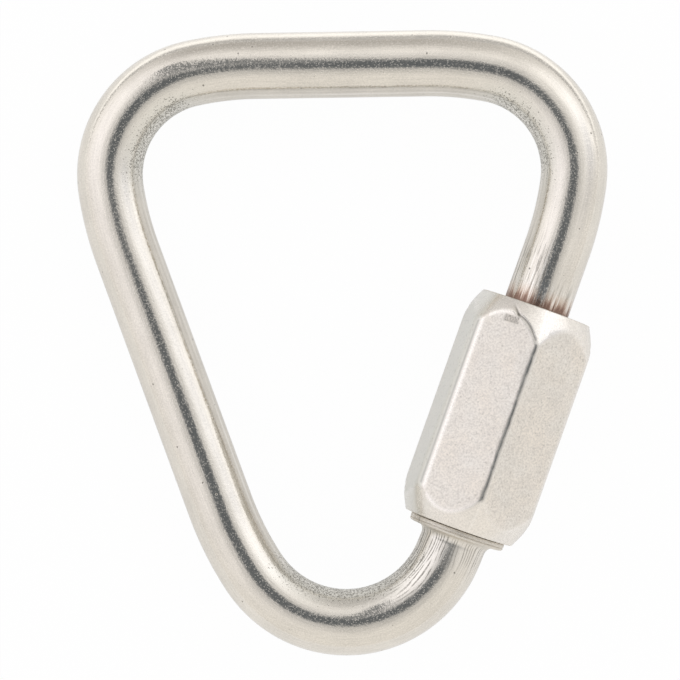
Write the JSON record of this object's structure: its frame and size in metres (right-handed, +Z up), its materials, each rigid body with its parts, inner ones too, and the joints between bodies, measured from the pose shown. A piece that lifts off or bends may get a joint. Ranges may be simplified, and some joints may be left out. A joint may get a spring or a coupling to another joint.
{
  "type": "chain quick link",
  "caption": "Triangular quick link of bent round stainless bar, closed by a long hexagonal sleeve nut that screws up its arm to open the gate for a chain, ring or sling.",
  "frame": {"origin": "middle of the box around the link, at the ground it lies on", "axes": "+Z up from the ground, +Y from the toe bend towards the top bar, +X towards the arm with the sleeve nut; the link rests on a long corner of the nut and on its far upper bend, so its plane leans by 4.7 degrees"},
  "size_m": [0.0642, 0.0756, 0.0169],
  "materials": {
    "bar_steel": "tumbled stainless steel, satin, with fine drawing lines, pits and a trace of rust by the nut",
    "nut_steel": "machined and tumbled stainless steel, satin, with worn edges and small scratches"
  },
  "bodies": {
    "link": {"link_body": "bar_steel"},
    "sleeve": {"sleeve_nut": "nut_steel"}
  },
  "joints": [
    {"name": "sleeve_travel", "type": "slide", "parent": "link", "child": "sleeve", "axis": [0.342, 0.9397, 0], "range_m": [0, 0.0125]}
  ]
}
